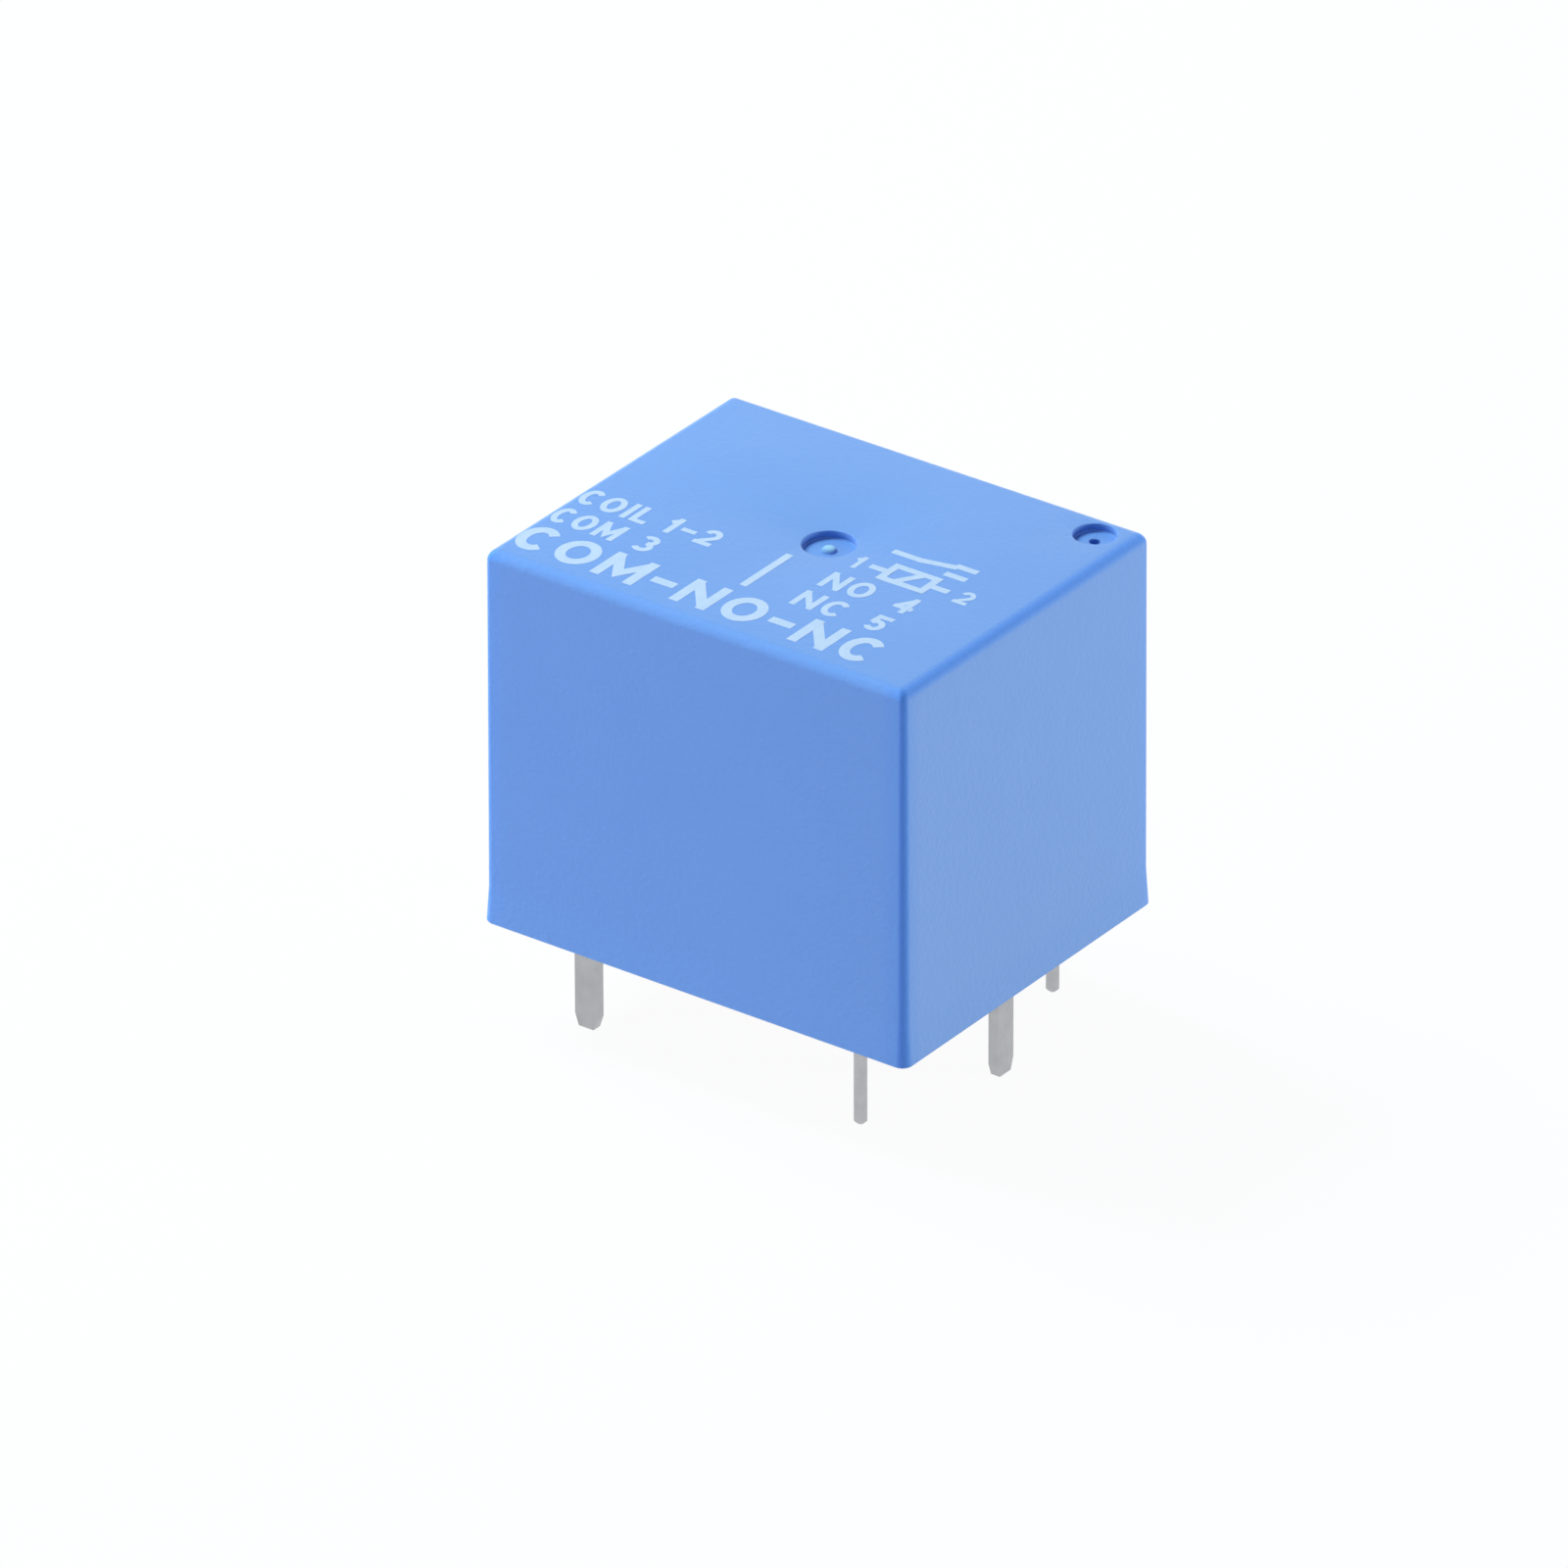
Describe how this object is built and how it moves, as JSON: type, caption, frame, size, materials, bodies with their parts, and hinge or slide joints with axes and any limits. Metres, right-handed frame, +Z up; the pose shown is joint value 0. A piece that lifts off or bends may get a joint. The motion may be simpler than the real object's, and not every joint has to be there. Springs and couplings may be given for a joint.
{
  "type": "pcb power relay",
  "caption": "Sealed blue box relay for printed circuit boards, with a coil that pulls a sprung armature and so switches a changeover contact.",
  "frame": {"origin": "middle of the footprint on the plane of the cover's rim, where the relay meets the board", "axes": "+Z up and away from the board, +X to the end with the common pin, -Y out of the front wide face, which has the normally open pin"},
  "size_m": [0.019, 0.0154, 0.0193],
  "materials": {
    "blue_cover": "satin blue moulding",
    "base_plastic": "matte",
    "resin": "poured, slightly glossy",
    "bobbin_plastic": "matte",
    "copper_wire": "enamelled copper, glossy",
    "magnet_steel": "zinc plated",
    "spring_bronze": "rolled phosphor bronze",
    "contact_silver": "silver alloy, satin",
    "tinned_terminal": "tinned, bright",
    "tinned_wire": "tinned, bright",
    "solder": "solder, satin"
  },
  "bodies": {
    "housing": {"cover": "blue_cover", "base": "base_plastic", "sealing_resin": "resin", "bobbin": "bobbin_plastic", "coil_winding": "copper_wire", "core": "magnet_steel", "yoke": "magnet_steel", "nc_terminal": "tinned_terminal", "nc_contact": "contact_silver", "no_terminal": "tinned_terminal", "no_contact": "contact_silver", "com_terminal": "tinned_terminal", "coil_pin_front": "tinned_wire", "coil_pin_rear": "tinned_wire", "coil_solder_front": "solder", "coil_solder_rear": "solder"},
    "armature": {"armature": "magnet_steel", "moving_spring": "spring_bronze", "moving_contact": "contact_silver"}
  },
  "joints": [
    {"name": "armature_hinge", "type": "hinge", "parent": "housing", "child": "armature", "pos_m": [0.00785, 0, 0.01111], "axis": [0, -1, 0], "range_deg": [0, 3], "stiffness_Nm_per_rad": 0.025, "springref_deg": -4.58, "deforming": ["moving_spring"]}
  ]
}
